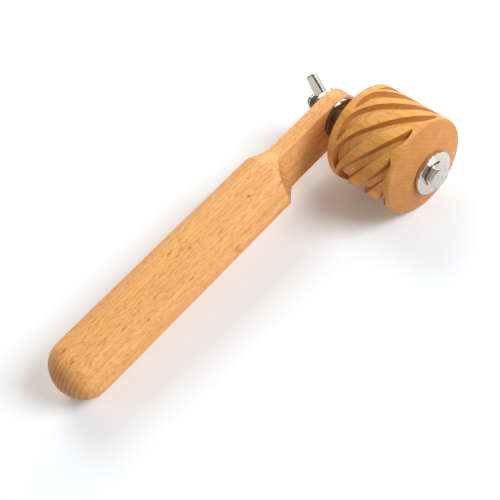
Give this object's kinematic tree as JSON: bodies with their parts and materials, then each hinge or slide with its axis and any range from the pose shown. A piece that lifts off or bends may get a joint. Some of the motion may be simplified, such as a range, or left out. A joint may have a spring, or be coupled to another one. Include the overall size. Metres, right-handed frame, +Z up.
{
  "type": "clay texture roller",
  "caption": "Hand-held wooden clay texture roller: a carved wooden roller spins on a bolt through the flat tongue of a turned handle, held by a wing nut.",
  "frame": {"origin": "on the ground under the middle of the tool's box as it lies on a table, resting on the roller and on the tail of the handle", "axes": "+X along the handle from its tail to the roller, +Y along the bolt from its hexagon head to the wing nut, +Z up"},
  "size_m": [0.209, 0.087, 0.0485],
  "materials": {
    "handle_wood": "beech, turned and sanded, lightly oiled, straight grain with short ray flecks",
    "roller_wood": "beech, turned and carved, oiled, darker in the grooves",
    "bolt_steel": "bright zinc-plated steel, satin",
    "washer_steel": "bright zinc-plated steel, smooth",
    "nut_metal": "zinc-plated casting, satin broad faces, bright edges"
  },
  "bodies": {
    "handle": {"handle": "handle_wood", "tongue_washer": "washer_steel", "nut_washer": "washer_steel"},
    "bolt": {"hex_bolt": "bolt_steel", "head_washer": "washer_steel"},
    "roller": {"texture_roller": "roller_wood"},
    "wing_nut": {"wing_nut": "nut_metal"}
  },
  "joints": [
    {"name": "bolt_travel", "type": "slide", "parent": "handle", "child": "bolt", "axis": [0, 1, 0], "range_m": [-0.00635, 0.00762]},
    {"name": "wing_nut_turn", "type": "hinge", "parent": "handle", "child": "wing_nut", "pos_m": [0.08026, 0.03028, 0.02423], "axis": [0, -1, 0], "range_deg": [-1800, 2160]},
    {"name": "roller_spin", "type": "hinge", "parent": "bolt", "child": "roller", "pos_m": [0.08026, -0.01397, 0.02423], "axis": [0, 1, 0], "continuous": true}
  ],
  "couplings": [
    {"joint": "wing_nut_turn", "follows": "bolt_travel", "rad_per_m": 4947.4}
  ]
}
